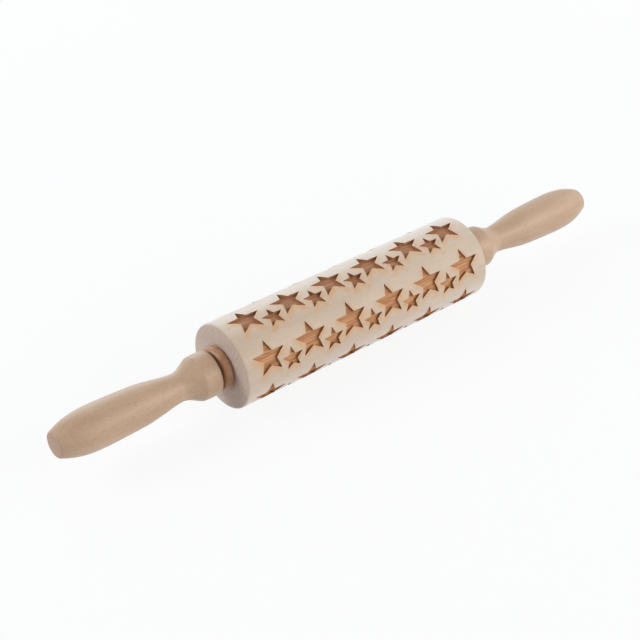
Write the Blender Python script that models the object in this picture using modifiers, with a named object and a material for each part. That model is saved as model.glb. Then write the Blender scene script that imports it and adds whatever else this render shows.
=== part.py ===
"""Embossed rolling pin: a beech roller, cut all round with star pockets, between two turned handles.

Frame: metres, +Z up. The rod's axis lies along X, above the origin, and the roller rests on z = 0.
The left end is at -X. The roller and its two bushes turn together on the rod that joins the handles.
"""

import math

import bmesh
import bpy

# Roller: a solid beech cylinder, bored through, with a counterbore for a bush at each end
ROLLER_LENGTH = 0.160
ROLLER_RADIUS = 0.0225
ROLLER_RIM = 0.001
ROLLER_BORE_RADIUS = 0.0055
ROLLER_SEGMENTS = 48

# Star pockets: widths run along the roller, heights and the drop run round its surface
STAR_ROWS = 6
STARS_PER_ROW = 6
STAR_POINTS = 5
STAR_PITCH = 0.0261
BIG_STAR_WIDTH = 0.0192
BIG_STAR_HEIGHT = 0.0168
SMALL_STAR_WIDTH = 0.0125
SMALL_STAR_HEIGHT = 0.0111
SMALL_STAR_DROP = 0.0054
STAR_NOTCH_SHARE = 0.42
FIRST_ROW_ANGLE = math.radians(63.3)
POCKET_DEPTH = 0.0015
FACETS_PER_BEND = 2

# Rod: a steel bar with ring grooves at both ends, where the handles are pressed on
ROD_RADIUS = 0.004
ROD_IN_HANDLE = 0.040
ROD_CHAMFER = 0.0006
ROD_SEGMENTS = 24
GROOVE_COUNT = 3
GROOVE_DEPTH = 0.0004
GROOVE_WIDTH = 0.0016
GROOVE_PITCH = 0.005

# Bushes: a sleeve inside the roller's end and a round-rimmed flange that shows against its face
BUSH_SLEEVE_RADIUS = 0.0078
BUSH_SLEEVE_LENGTH = 0.016
BUSH_FLANGE_RADIUS = 0.0119
BUSH_FLANGE_THICKNESS = 0.0047
BUSH_SEGMENTS = 32

# Handles: a collar beside the bush, a cove down to the neck, a long belly and a small flat tip
OVERALL_LENGTH = 0.350
COLLAR_RADIUS = 0.0115
COLLAR_CROWN = 0.0002
COLLAR_LENGTH = 0.009
COLLAR_EDGE = 0.0005
COVE_LENGTH = 0.0107
NECK_RADIUS = 0.0073
RISE_LENGTH = 0.045
BELLY_RADIUS = 0.01105
TIP_RADIUS = 0.0065
HANDLE_SEGMENTS = 32

# How far the cove has fallen, and how far the belly has risen, along their own lengths
COVE_SHARES = ((0.0, 0.0), (0.16, 0.20), (0.35, 0.46), (0.63, 0.80), (0.88, 0.97), (1.0, 1.0))
RISE_SHARES = ((0.0, 0.0), (0.12, 0.15), (0.28, 0.47), (0.44, 0.74), (0.62, 0.87), (0.80, 0.95), (1.0, 1.0))
TIP_CURVE_POWER = 2.5
COVE_STEPS = 6
RISE_STEPS = 6
TIP_STEPS = 7
CROWN_STEPS = 3
EDGE_STEPS = 2
RIM_STEPS = 2
BEAD_STEPS = 6

# Fits: the gap that touching pieces keep, the free play beside each bush, and the cutters' overrun
FIT_GAP = 0.0003
END_PLAY = 0.0019
OVERRUN = 0.001
MERGE_DISTANCE = 0.00001
SHARP_ANGLE = math.radians(35)

# The roller rests on one of its facets, so its axis stands one facet's distance above the floor
FACET_STEP = 2 * math.pi / ROLLER_SEGMENTS
BEND_STEP = FACETS_PER_BEND * FACET_STEP
AXIS_HEIGHT = ROLLER_RADIUS * math.cos(FACET_STEP / 2)
ROLLER_END = ROLLER_LENGTH / 2
HANDLE_START = ROLLER_END + FIT_GAP + BUSH_FLANGE_THICKNESS + END_PLAY
HANDLE_LENGTH = OVERALL_LENGTH / 2 - HANDLE_START
ROD_END = HANDLE_START + ROD_IN_HANDLE


def clear_scene():
    """Remove whatever the scene holds, so that each run starts from nothing."""
    for leftover in list(bpy.data.objects):
        bpy.data.objects.remove(leftover, do_unlink=True)


def new_collection(name):
    """Add a collection to the scene."""
    collection = bpy.data.collections.new(name)
    bpy.context.scene.collection.children.link(collection)
    return collection


def linear(channel):
    """Turn one sRGB channel of 0 to 255 into Blender's linear value."""
    value = channel / 255
    return value / 12.92 if value <= 0.04045 else ((value + 0.055) / 1.055) ** 2.4


def new_material(name, srgb, roughness, metallic=0.0):
    """Make a plain finish for one kind of surface."""
    material = bpy.data.materials.new(name)
    material.use_nodes = True
    shader = material.node_tree.nodes["Principled BSDF"]
    shader.inputs["Base Color"].default_value = (*[linear(channel) for channel in srgb], 1.0)
    shader.inputs["Roughness"].default_value = roughness
    shader.inputs["Metallic"].default_value = metallic
    return material


def new_pivot(name, collection):
    """Add an empty on the rod's axis, which carries the pieces of one body."""
    pivot = bpy.data.objects.new(name, None)
    pivot.location = (0, 0, AXIS_HEIGHT)
    collection.objects.link(pivot)
    return pivot


def arc(centre_radius, centre_height, radius, start, end, steps):
    """Give the points of an arc in a turned outline, the angles counted from straight outwards."""
    points = []
    for step in range(steps + 1):
        angle = start + (end - start) * step / steps
        points.append((centre_radius + radius * math.cos(angle), centre_height + radius * math.sin(angle)))
    return points


def smooth_share(shares, position):
    """Read a smooth curve through a table of shares at a position from 0 to 1."""
    last = len(shares) - 1
    slopes = []
    for index in range(len(shares)):
        before = shares[max(index - 1, 0)]
        after = shares[min(index + 1, last)]
        slopes.append((after[1] - before[1]) / (after[0] - before[0]))
    slopes[last] = 0.0
    index = 0
    while index < last - 1 and position > shares[index + 1][0]:
        index += 1
    span = shares[index + 1][0] - shares[index][0]
    t = (position - shares[index][0]) / span
    start_part = (1 + 2 * t) * (1 - t) ** 2 * shares[index][1] + t * (1 - t) ** 2 * span * slopes[index]
    end_part = t * t * (3 - 2 * t) * shares[index + 1][1] - t * t * (1 - t) * span * slopes[index + 1]
    return start_part + end_part


def lay_along_x(piece, way, distance):
    """Point a turned piece's top along +X or -X, its own height 0 at a distance from the middle."""
    piece.location = (way * distance, 0, 0)
    piece.rotation_euler = (0, way * math.pi / 2, 0)


def turned(name, outline, segments, material, parent, collection):
    """Turn an outline of (radius, height) points round its own Z axis, and lay it along X at the middle.

    The outline runs down its outer side. It closes on itself unless it starts and ends on the axis.
    Its first facet starts half a step round, so that a flat facet faces straight down.
    """
    half_step = math.pi / segments
    shape = bmesh.new()
    points = []
    for radius, height in outline:
        points.append(shape.verts.new((radius * math.cos(half_step), radius * math.sin(half_step), height)))
    for first, second in zip(points, points[1:]):
        shape.edges.new((first, second))
    if outline[0][0] > 0:
        shape.edges.new((points[-1], points[0]))
    mesh = bpy.data.meshes.new(name)
    shape.to_mesh(mesh)
    shape.free()
    piece = bpy.data.objects.new(name, mesh)
    collection.objects.link(piece)
    screw = piece.modifiers.new("turning", "SCREW")
    screw.steps = segments
    screw.render_steps = segments
    screw.use_merge_vertices = True
    screw.merge_threshold = MERGE_DISTANCE
    piece.data.materials.append(material)
    piece.parent = parent
    lay_along_x(piece, 1, 0)
    return piece


def finish(piece):
    """Keep the modified shape as the piece's own mesh, smooth where it is round and crisp at its edges."""
    bpy.context.view_layer.update()
    evaluated = piece.evaluated_get(bpy.context.evaluated_depsgraph_get())
    mesh = bpy.data.meshes.new_from_object(evaluated)
    mesh.name = piece.name
    piece.modifiers.clear()
    piece.data = mesh
    mesh.shade_smooth()
    mesh.set_sharp_from_angle(angle=SHARP_ANGLE)


def bend(flat, angle):
    """Lay a point of a flat star on the roller: x stays, y runs back round it and z is the height."""
    turn = angle - flat.y / ROLLER_RADIUS
    middle = (math.floor(turn / BEND_STEP) + 0.5) * BEND_STEP
    radius = (ROLLER_RADIUS + flat.z) * math.cos(BEND_STEP / 2) / math.cos(turn - middle)
    return flat.x, -radius * math.sin(turn), AXIS_HEIGHT + radius * math.cos(turn)


def add_star(shape, width, height, place, angle):
    """Add one bent star prism, with one tip towards the top of the roller, to the cutters' mesh.

    It is bent only along lines in the middle of the roller's facets, so it never bends on an edge.
    """
    star = bmesh.new()
    bmesh.ops.create_circle(star, cap_ends=True, segments=2 * STAR_POINTS, radius=1.0)
    star.verts.ensure_lookup_table()
    tip_reach = math.sin(math.pi * (STAR_POINTS - 1) / (2 * STAR_POINTS))
    foot_reach = math.cos(math.pi / STAR_POINTS)
    for index, vertex in enumerate(star.verts):
        reach = STAR_NOTCH_SHARE if index % 2 else 1.0
        vertex.co.x *= reach * width / (2 * tip_reach)
        vertex.co.y *= reach * height / (1 + foot_reach)
        vertex.co.z = -POCKET_DEPTH
    lowest = min(vertex.co.y for vertex in star.verts)
    highest = max(vertex.co.y for vertex in star.verts)
    first_line = math.ceil((angle - highest / ROLLER_RADIUS) / BEND_STEP)
    last_line = math.floor((angle - lowest / ROLLER_RADIUS) / BEND_STEP)
    for line in range(first_line, last_line + 1):
        cut = (angle - line * BEND_STEP) * ROLLER_RADIUS
        everything = list(star.verts) + list(star.edges) + list(star.faces)
        bmesh.ops.bisect_plane(star, geom=everything, plane_co=(0, cut, 0), plane_no=(0, 1, 0))
    raised = bmesh.ops.extrude_face_region(star, geom=list(star.faces), use_keep_orig=True)
    for item in raised["geom"]:
        if isinstance(item, bmesh.types.BMVert):
            item.co.z = OVERRUN
    for vertex in star.verts:
        vertex.co = bend(vertex.co, angle)
        vertex.co.x += place
    bmesh.ops.recalc_face_normals(star, faces=list(star.faces))
    mesh = bpy.data.meshes.new("star")
    star.to_mesh(mesh)
    star.free()
    shape.from_mesh(mesh)
    bpy.data.meshes.remove(mesh)


def make_star_cutters(collection, material):
    """Make all the star prisms: rows of big stars, each with a smaller star between two big ones."""
    shape = bmesh.new()
    drop = SMALL_STAR_DROP / ROLLER_RADIUS
    for row in range(STAR_ROWS):
        angle = FIRST_ROW_ANGLE + row * 2 * math.pi / STAR_ROWS
        for index in range(STARS_PER_ROW):
            place = (index - (STARS_PER_ROW - 1) / 2) * STAR_PITCH
            add_star(shape, BIG_STAR_WIDTH, BIG_STAR_HEIGHT, place, angle)
            if index < STARS_PER_ROW - 1:
                between = place + STAR_PITCH / 2
                add_star(shape, SMALL_STAR_WIDTH, SMALL_STAR_HEIGHT, between, angle + drop)
    mesh = bpy.data.meshes.new("star_cutters")
    shape.to_mesh(mesh)
    shape.free()
    mesh.materials.append(material)
    cutters = bpy.data.objects.new("star_cutters", mesh)
    collection.objects.link(cutters)
    cutters.hide_render = True
    cutters.display_type = "WIRE"
    return cutters


def roller_outline():
    """Outline of the roller: rounded rims, a through bore and a counterbore for each bush."""
    socket_radius = BUSH_SLEEVE_RADIUS + FIT_GAP
    shoulder = ROLLER_END - BUSH_SLEEVE_LENGTH - FIT_GAP
    rim_centre = ROLLER_RADIUS - ROLLER_RIM
    rim_height = ROLLER_END - ROLLER_RIM
    outline = [(socket_radius, ROLLER_END)]
    outline += arc(rim_centre, rim_height, ROLLER_RIM, math.pi / 2, 0, RIM_STEPS)
    outline += arc(rim_centre, -rim_height, ROLLER_RIM, 0, -math.pi / 2, RIM_STEPS)
    outline += [(socket_radius, -ROLLER_END), (socket_radius, -shoulder), (ROLLER_BORE_RADIUS, -shoulder)]
    outline += [(ROLLER_BORE_RADIUS, shoulder), (socket_radius, shoulder)]
    return outline


def bush_outline():
    """Outline of a bush, its flange on top: height 0 is the roller's end face."""
    bore_radius = ROD_RADIUS + FIT_GAP
    bead_radius = BUSH_FLANGE_THICKNESS / 2
    top = FIT_GAP + BUSH_FLANGE_THICKNESS
    outline = [(bore_radius, top)]
    bead_centre = BUSH_FLANGE_RADIUS - bead_radius
    outline += arc(bead_centre, top - bead_radius, bead_radius, math.pi / 2, -math.pi / 2, BEAD_STEPS)
    outline += [(BUSH_SLEEVE_RADIUS, FIT_GAP), (BUSH_SLEEVE_RADIUS, -BUSH_SLEEVE_LENGTH)]
    outline += [(bore_radius, -BUSH_SLEEVE_LENGTH)]
    return outline


def rod_outline():
    """Outline of the rod: chamfered ends, and ring grooves where the handles grip it."""
    groove_radius = ROD_RADIUS - GROOVE_DEPTH
    upper = [(0, ROD_END), (ROD_RADIUS - ROD_CHAMFER, ROD_END), (ROD_RADIUS, ROD_END - ROD_CHAMFER)]
    for groove in range(GROOVE_COUNT):
        middle = ROD_END - (groove + 1) * GROOVE_PITCH
        upper += [(ROD_RADIUS, middle + GROOVE_WIDTH / 2), (groove_radius, middle)]
        upper.append((ROD_RADIUS, middle - GROOVE_WIDTH / 2))
    lower = [(radius, -height) for radius, height in reversed(upper)]
    return upper + lower


def handle_outline():
    """Outline of a handle, its tip on top: height 0 is the collar's face beside the bush."""
    cove_start = COLLAR_LENGTH
    neck = cove_start + COVE_LENGTH
    belly = neck + RISE_LENGTH
    outline = [(0, HANDLE_LENGTH)]
    for step in range(TIP_STEPS):
        t = 1 - step / TIP_STEPS
        radius = TIP_RADIUS + (BELLY_RADIUS - TIP_RADIUS) * (1 - t ** TIP_CURVE_POWER)
        outline.append((radius, belly + (HANDLE_LENGTH - belly) * t))
    for step in range(RISE_STEPS):
        t = 1 - step / RISE_STEPS
        radius = NECK_RADIUS + (BELLY_RADIUS - NECK_RADIUS) * smooth_share(RISE_SHARES, t)
        outline.append((radius, neck + RISE_LENGTH * t))
    for step in range(COVE_STEPS):
        t = 1 - step / COVE_STEPS
        radius = COLLAR_RADIUS + (NECK_RADIUS - COLLAR_RADIUS) * smooth_share(COVE_SHARES, t)
        outline.append((radius, cove_start + COVE_LENGTH * t))
    for step in range(CROWN_STEPS):
        t = 1 - step / CROWN_STEPS
        radius = COLLAR_RADIUS + 4 * COLLAR_CROWN * t * (1 - t)
        outline.append((radius, COLLAR_EDGE + (cove_start - COLLAR_EDGE) * t))
    outline += arc(COLLAR_RADIUS - COLLAR_EDGE, COLLAR_EDGE, COLLAR_EDGE, 0, -math.pi / 2, EDGE_STEPS)
    bore_radius = ROD_RADIUS + FIT_GAP
    bore_end = ROD_IN_HANDLE + FIT_GAP
    outline += [(bore_radius, 0), (bore_radius, bore_end), (0, bore_end)]
    return outline


def make_rolling_pin():
    """Build every piece, cut the stars and finish the surfaces."""
    clear_scene()
    parts = new_collection("embossed_rolling_pin")
    cutting = new_collection("cutters")
    roller_wood = new_material("roller_beech", (216, 198, 172), 0.55)
    burnt_wood = new_material("burnt_beech", (176, 124, 82), 0.75)
    handle_wood = new_material("handle_beech", (214, 178, 140), 0.42)
    bush_wood = new_material("bush_hardwood", (182, 134, 96), 0.35)
    steel = new_material("rod_steel", (176, 178, 180), 0.30, metallic=1.0)

    held = new_pivot("handles_pivot", parts)
    spinning = new_pivot("roller_pivot", parts)
    rod = turned("axle_rod", rod_outline(), ROD_SEGMENTS, steel, held, parts)
    roller = turned("roller_barrel", roller_outline(), ROLLER_SEGMENTS, roller_wood, spinning, parts)
    pieces = [rod, roller]
    for side, way in (("left", -1), ("right", 1)):
        bush = turned("bush_" + side, bush_outline(), BUSH_SEGMENTS, bush_wood, spinning, parts)
        lay_along_x(bush, way, ROLLER_END)
        handle = turned("handle_" + side, handle_outline(), HANDLE_SEGMENTS, handle_wood, held, parts)
        lay_along_x(handle, way, HANDLE_START)
        pieces += [bush, handle]

    cutters = make_star_cutters(cutting, burnt_wood)
    engraving = roller.modifiers.new("star_pockets", "BOOLEAN")
    engraving.object = cutters
    engraving.operation = "DIFFERENCE"
    engraving.solver = "EXACT"
    engraving.material_mode = "TRANSFER"
    for piece in pieces:
        finish(piece)


make_rolling_pin()
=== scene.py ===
"""Looks of an embossed rolling pin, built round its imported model.

The file is laid out as an add-on and is run as a script. It works in metres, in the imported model's frame: the
pin lies along X over the origin, its near left end at -X, and its roller rests on the floor.
"""

import math
from functools import partial

import bmesh
import bpy
from bpy.props import FloatProperty, FloatVectorProperty, IntProperty, PointerProperty
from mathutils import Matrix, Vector


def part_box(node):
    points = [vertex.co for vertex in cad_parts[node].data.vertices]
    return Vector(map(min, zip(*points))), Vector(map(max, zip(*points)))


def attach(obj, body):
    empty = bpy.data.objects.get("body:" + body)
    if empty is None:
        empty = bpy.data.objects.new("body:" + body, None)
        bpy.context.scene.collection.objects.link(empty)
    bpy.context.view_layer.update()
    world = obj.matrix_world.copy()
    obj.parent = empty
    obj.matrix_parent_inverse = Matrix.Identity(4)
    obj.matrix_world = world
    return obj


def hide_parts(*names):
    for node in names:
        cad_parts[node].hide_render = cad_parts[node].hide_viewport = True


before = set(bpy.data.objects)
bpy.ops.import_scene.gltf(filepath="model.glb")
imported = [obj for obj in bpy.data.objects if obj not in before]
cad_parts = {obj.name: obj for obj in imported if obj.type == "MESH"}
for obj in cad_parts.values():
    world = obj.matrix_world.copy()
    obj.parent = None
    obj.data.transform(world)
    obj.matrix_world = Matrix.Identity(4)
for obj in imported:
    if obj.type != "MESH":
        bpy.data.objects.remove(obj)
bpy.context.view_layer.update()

bl_info = {
    "name": "Embossed rolling pin",
    "version": (1, 0, 0),
    "blender": (4, 5, 0),
    "location": "View3D > Sidebar > Rolling pin",
    "description": "Builds a star-embossed rolling pin with turned handles in its materials",
    "category": "Object",
}

MM = 0.001
FULL_TURN = 2 * math.pi

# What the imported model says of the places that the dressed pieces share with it. Its round pieces are faceted
ROLLER_LOW, ROLLER_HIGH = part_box("roller_barrel")
HANDLE_LOW, HANDLE_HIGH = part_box("handle_right")
BUSH_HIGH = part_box("bush_right")[1]
ROD_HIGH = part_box("axle_rod")[1]
CAD_ROLLER_FACETS = 48
CAD_BUSH_FACETS = 32
AXIS_HEIGHT = (ROLLER_LOW.z + ROLLER_HIGH.z) / 2
MIDDLE = (0, 0, AXIS_HEIGHT)
CAD_ROLLER_RADIUS = AXIS_HEIGHT / math.cos(math.pi / CAD_ROLLER_FACETS)
CAD_BUSH_RADIUS = BUSH_HIGH.y / math.cos(math.pi / CAD_BUSH_FACETS)

# How finely the turned pieces and the star pockets are drawn
ROLLER_SEGMENTS = 256
HANDLE_SEGMENTS = 128
BUSH_SEGMENTS = 128
RIM_STEPS = 6
BEAD_STEPS = 12
TIP_STEPS = 36
RISE_STEPS = 48
COVE_STEPS = 24
CROWN_STEPS = 10
EDGE_STEPS = 5
STAR_EDGE_CUTS = 14
STAR_FLOOR_LINES = 36
MERGE_DISTANCE = 0.001 * MM
CREASE_ANGLE = math.radians(18)
POCKET_CREASE_ANGLE = math.radians(35)

# A star of unit size reaches 1 from its centre to a tip. Its cutter reaches past all that it has to cut
STAR_POINTS = 5
TIP_TO_NOTCH = math.pi / STAR_POINTS
UNIT_STAR_WIDTH = 2 * math.sin(2 * TIP_TO_NOTCH)
UNIT_STAR_HEIGHT = 1 + math.cos(TIP_TO_NOTCH)
CUTTER_OVERRUN = 1.0 * MM
CUTTER_MARGIN = 1.2
PRISM_REACH = 4.0 * MM
WALL_TAPER = 0.985

# What the star cutting takes from the pin's sizes, under the same names
STAR_SIZES = ("Roller Radius", "Star Pitch", "Big Width", "Big Height", "Small Width", "Small Height",
              "Small Drop", "Notch Share", "First Row", "Pocket Depth")
STAR_COUNTS = ("Star Rows", "Stars Per Row")

# A pocket's faces lie this share of its depth, give or take the second number, below the roller's surface
POCKET_SHARE, POCKET_SHARE_REACH = 0.8, 0.75

# How far the cove has fallen, and how far the belly has risen, along their own lengths
COVE_SHARES = ((0.0, 0.0), (0.16, 0.20), (0.35, 0.46), (0.63, 0.80), (0.88, 0.97), (1.0, 1.0))
RISE_SHARES = ((0.0, 0.0), (0.12, 0.15), (0.28, 0.47), (0.44, 0.74), (0.62, 0.87), (0.80, 0.95), (1.0, 1.0))
TIP_CURVE_POWER = 2.5

# Fine raised fibres give wood a pale haze where it is seen edge-on
RAW_WOOD_SHEEN = 1.0
FINISHED_WOOD_SHEEN = 0.15
WAXED_WOOD_SHEEN = 0.2
SHEEN_ROUGHNESS = 0.6

RAW_WOOD_ROUGHNESS = 0.5
BURNT_WOOD_ROUGHNESS = 0.85
FINISHED_WOOD_ROUGHNESS = 0.42
WAXED_WOOD_ROUGHNESS = 0.4
STEEL_ROUGHNESS, STEEL_SCRATCH_ROUGHNESS = 0.24, 0.40
STEEL_SCRATCH_TONE = 0.8

# The pith is where the rings have their middle. The roller was turned from a board whose pith lies outside it
ROLLER_PITH = (30 * MM, 46 * MM, AXIS_HEIGHT + 38 * MM)
BUSH_PITH = (0, 9 * MM, AXIS_HEIGHT - 4 * MM)
HANDLE_PITH = (0, -17 * MM, AXIS_HEIGHT + 21 * MM)

# Patterns in the wood and the steel: each one's length along the grain, and its width across it
FLECK_SIZE = (2.6 * MM, 0.55 * MM)
FIBRE_SIZE = (8 * MM, 0.35 * MM)
CLOUD_SIZE = (35 * MM, 7 * MM)
BURN_LINE_SIZE = (14 * MM, 0.8 * MM)
SCRATCH_SIZE = (12 * MM, 0.12 * MM)

# Rings stand this far apart and wander little along the grain. A wave texture of scale 1 has its own period
RING_SPACING = 2.6 * MM
RING_WANDER = 0.12
WAVE_PERIOD = FULL_TURN / 20

# Pores are drawn several times as coarse as real ones so that they show
PORE_SPACING = 0.8 * MM

# Where a pattern starts to show, and where it is full
RING_LEVELS = (0.45, 0.95)
FLECK_LEVELS = (0.34, 0.12)
PORE_LEVELS = (0.40, 0.64)
BURN_LINE_LEVELS = (0.38, 0.70)
END_GRAIN_LEVELS = (0.75, 0.95)
FIGURE_LEVELS = {"Clouds": (0.40, 0.68), "Rings": (0.0, 1.0), "Fibres": (0.46, 0.70), "Flecks": (0.0, 1.0)}

# How strongly each pattern shows, along the grain of each piece and then in the end grain
ROLLER_FIGURE = {"Clouds": 0.40, "Rings": 0.12, "Fibres": 0.40, "Flecks": 0.28}
BUSH_FIGURE = {"Clouds": 0.35, "Rings": 0.30, "Fibres": 0.35, "Flecks": 0.20}
HANDLE_FIGURE = {"Clouds": 0.35, "Rings": 0.12, "Fibres": 0.35, "Flecks": 0.45}
END_PORE_SHARE, END_RING_SHARE = 0.45, 0.25

# How high the fibres stand after sanding and under a finish, and the latewood on a burnt floor
SANDED_RELIEF = 0.01 * MM
FINISHED_RELIEF = 0.004 * MM
BURNT_RELIEF = 0.05 * MM

# Burning: smoke drifts down from a star in puffs. The star floors are drawn darker and cooler from the second
# of these distances off the pith in to the first, on the roller's upper back side
SMOKE_DRIFT = 1.8 * MM
SMOKE_REACH = 2.8 * MM
SMOKE_PUFF = 0.8 * MM
PUFF_WIDTH = 5 * MM
PUFF_LEVELS = (0.3, 0.7)
FLOOR_DARKENING_START = 50 * MM
FLOOR_DARKENING_END = 68 * MM
BURNT_RING_SHARE = 0.7
FLOOR_TONE_START, FLOOR_TONE_FULL = 0.45, 0.90
CHAR_FULL_DEPTH, CHAR_END_DEPTH = 0.10 * MM, 0.35 * MM

# The camera's place, found from the outline of the pin in the photograph
CAMERA_AZIMUTH = math.radians(-39.5207)
CAMERA_ELEVATION = math.radians(34.7304)
CAMERA_DISTANCE = 768.34 * MM
CAMERA_TARGET = Vector((-17.255 * MM, 0, AXIS_HEIGHT + 0.333 * MM))
SENSOR_WIDTH = 36.0
LENS = 84.40
CLIP_START, CLIP_END = 0.01, 20.0

# Stage: a floor of white paper under a white tent. Its soft lamps are cool behind and warm low in front
FLOOR_SIZE = 6.0
FLOOR_GLOW_SHARE = 0.88
GLOW_RISE_START, GLOW_RISE_END = 0.30, 0.80
TENT_STRENGTH = 0.25
TENT_LIGHT = "#FFFCF8"

# Each lamp's name, its place and its width in metres, its power in watts and its colour
LAMPS = (
    ("front_right_lamp", (0.90, -1.05, 0.70), 0.9, 9.9, "#FFFDFB"),
    ("front_low_lamp", (0.25, -1.35, 0.35), 0.9, 5.2, "#FFF8F1"),
    ("left_back_lamp", (-1.10, 0.65, 0.70), 0.8, 11.9, "#F9FCFF"),
    ("back_top_lamp", (0.35, 0.95, 1.15), 0.9, 2.2, "#E5F4FF"),
    ("back_low_lamp", (0.45, 1.50, 0.45), 1.0, 6.0, "#F3FAFF"),
    ("right_lamp", (1.35, -0.10, 0.70), 0.8, 3.4, "#FAFEFF"),
)

# Kinds of node. A map range takes a value, the range that it comes from and the range that it goes to
MATH = "ShaderNodeMath"
VECTOR_MATH = "ShaderNodeVectorMath"
MAP_RANGE = "ShaderNodeMapRange"
MIX = "ShaderNodeMix"
NOISE = "ShaderNodeTexNoise"


def srgb(code):
    """Turn an sRGB hex colour into Blender's linear red, green and blue, with a full alpha."""
    channels = [int(code[place:place + 2], 16) / 255 for place in (1, 3, 5)]
    return (*[c / 12.92 if c <= 0.04045 else ((c + 0.055) / 1.055) ** 2.4 for c in channels], 1.0)


def feed(node, inputs):
    """Give a node's inputs, by name or in order, values or what comes from sockets or other nodes.

    An order counts only the sockets that a node's settings leave on, and a node gives its first of them.
    """
    if isinstance(inputs, dict):
        pairs = [(node.inputs[name], given) for name, given in inputs.items()]
    else:
        pairs = zip([socket for socket in node.inputs if socket.enabled], inputs)
    for socket, given in pairs:
        for value in given if isinstance(given, list) else [given]:
            if isinstance(value, bpy.types.Node):
                value = next(output for output in value.outputs if output.enabled)
            if isinstance(value, bpy.types.NodeSocket):
                node.id_data.links.new(value, socket)
            else:
                socket.default_value = value


def add_node(tree, kind, inputs=(), **settings):
    """Add a node with its settings, and feed its inputs."""
    node = tree.nodes.new(kind)
    for name, value in settings.items():
        setattr(node, name, value)
    feed(node, inputs)
    return node


def bare_tree(owner):
    """Empty the tree of a material or a world, and give the function that adds nodes to it."""
    owner.use_nodes = True
    owner.node_tree.nodes.clear()
    return partial(add_node, owner.node_tree)


def new_group(name, tree_kind, inputs, outputs):
    """Start a node group whose sockets' names are listed by their kind.

    It comes with the function that adds nodes to it, and with what the group is given.
    """
    tree = bpy.data.node_groups.new(name, tree_kind)
    for way, sockets in (("INPUT", inputs), ("OUTPUT", outputs)):
        for kind, names in sockets.items():
            for socket_name in names:
                tree.interface.new_socket(socket_name, in_out=way, socket_type="NodeSocket" + kind)
    add = partial(add_node, tree)
    return tree, add, add("NodeGroupInput").outputs


def new_object(name, data):
    """Put a mesh, a lamp or a camera into the scene as an object."""
    piece = bpy.data.objects.new(name, data)
    bpy.context.scene.collection.objects.link(piece)
    return piece


def length_prop(name, description, default):
    """A size in metres that the sidebar shows in the scene's unit."""
    return FloatProperty(
        name=name, description=description, default=default, min=0, unit="LENGTH", precision=5
    )


def colour_prop(name, description, code):
    """A colour, given as sRGB hex."""
    return FloatVectorProperty(
        name=name, description=description, default=srgb(code), size=4, min=0, max=1, subtype="COLOR"
    )


class PinSizes(bpy.types.PropertyGroup):
    """Sizes of the pin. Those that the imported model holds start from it."""

    roller_length: length_prop("Roller length", "Between the end faces", ROLLER_HIGH.x - ROLLER_LOW.x)
    roller_radius: length_prop("Roller radius", "Half of the roller's diameter", CAD_ROLLER_RADIUS)
    roller_rim: length_prop("Roller rim", "Radius of the rounded rim at each end face", 1.0 * MM)
    socket_radius: length_prop("Socket radius", "Counterbore for a bush's sleeve", 8.1 * MM)
    socket_depth: length_prop("Socket depth", "How deep a bush's counterbore is", 16.3 * MM)
    bore_radius: length_prop("Bore radius", "Through bore of the roller", 5.5 * MM)

    star_rows: IntProperty(name="Star rows", description="Rows of stars round the roller", default=6, min=1)
    stars_per_row: IntProperty(name="Stars per row", description="Big stars in one row", default=6, min=2)
    star_pitch: length_prop("Star pitch", "From one big star to the next in its row", 26.1 * MM)
    big_width: length_prop("Big star width", "Width of a big star, along the roller", 19.2 * MM)
    big_height: length_prop("Big star height", "Height of a big star, round the roller", 16.8 * MM)
    small_width: length_prop("Small star width", "Width of a small star, along the roller", 12.5 * MM)
    small_height: length_prop("Small star height", "Height of a small star, round the roller", 11.1 * MM)
    small_drop: length_prop("Small star drop", "How much further round a small star sits", 5.4 * MM)
    notch_share: FloatProperty(name="Notch share", description="A notch's reach over a tip's", default=0.42)
    first_row: FloatProperty(
        name="First row", description="From the top of the roller round to a row of stars",
        default=math.radians(63.3), unit="ROTATION",
    )
    pocket_depth: length_prop("Pocket depth", "How deep the stars are cut", 1.5 * MM)

    overall_length: length_prop("Overall length", "From one handle's tip to the other's", 2 * HANDLE_HIGH.x)
    handle_start: length_prop("Handle start", "From the middle of the pin to a collar's face", HANDLE_LOW.x)
    collar_radius: length_prop("Collar radius", "Radius at the collar's edges", 11.5 * MM)
    collar_crown: length_prop("Collar crown", "How much the collar swells in its middle", 0.2 * MM)
    collar_length: length_prop("Collar length", "From the collar's face to its knee", 9.0 * MM)
    collar_edge: length_prop("Collar edge", "Radius of the edge at the collar's face", 0.5 * MM)
    cove_length: length_prop("Cove length", "From the knee down to the neck", 10.7 * MM)
    neck_radius: length_prop("Neck radius", "Radius of the thinnest place", 7.3 * MM)
    rise_length: length_prop("Rise length", "From the neck up to the belly", 45.0 * MM)
    belly_radius: length_prop("Belly radius", "Radius of the thickest place", 11.05 * MM)
    tip_radius: length_prop("Tip radius", "Radius of the flat cap at the tip", 6.5 * MM)
    tip_edge: length_prop("Tip edge", "Radius of the edge round the tip's cap", 0.6 * MM)

    flange_radius: length_prop("Flange radius", "Radius of a bush's round rim", CAD_BUSH_RADIUS)
    flange_thickness: length_prop("Flange thickness", "How far a bush stands off the roller", 4.7 * MM)
    flange_edge: length_prop("Flange edge", "From a bush's widest place back to its face", 1.3 * MM)
    sleeve_radius: length_prop("Sleeve radius", "Radius of the sleeve in the roller", 7.8 * MM)
    sleeve_length: length_prop("Sleeve length", "Length of the sleeve in the roller", 16.0 * MM)

    rod_radius: length_prop("Rod radius", "Radius of the steel rod", 4.0 * MM)
    rod_in_handle: length_prop("Rod in handle", "How deep the rod sits", ROD_HIGH.x - HANDLE_LOW.x)
    fit_gap: length_prop("Fit gap", "Gap that touching pieces keep", 0.3 * MM)


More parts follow.
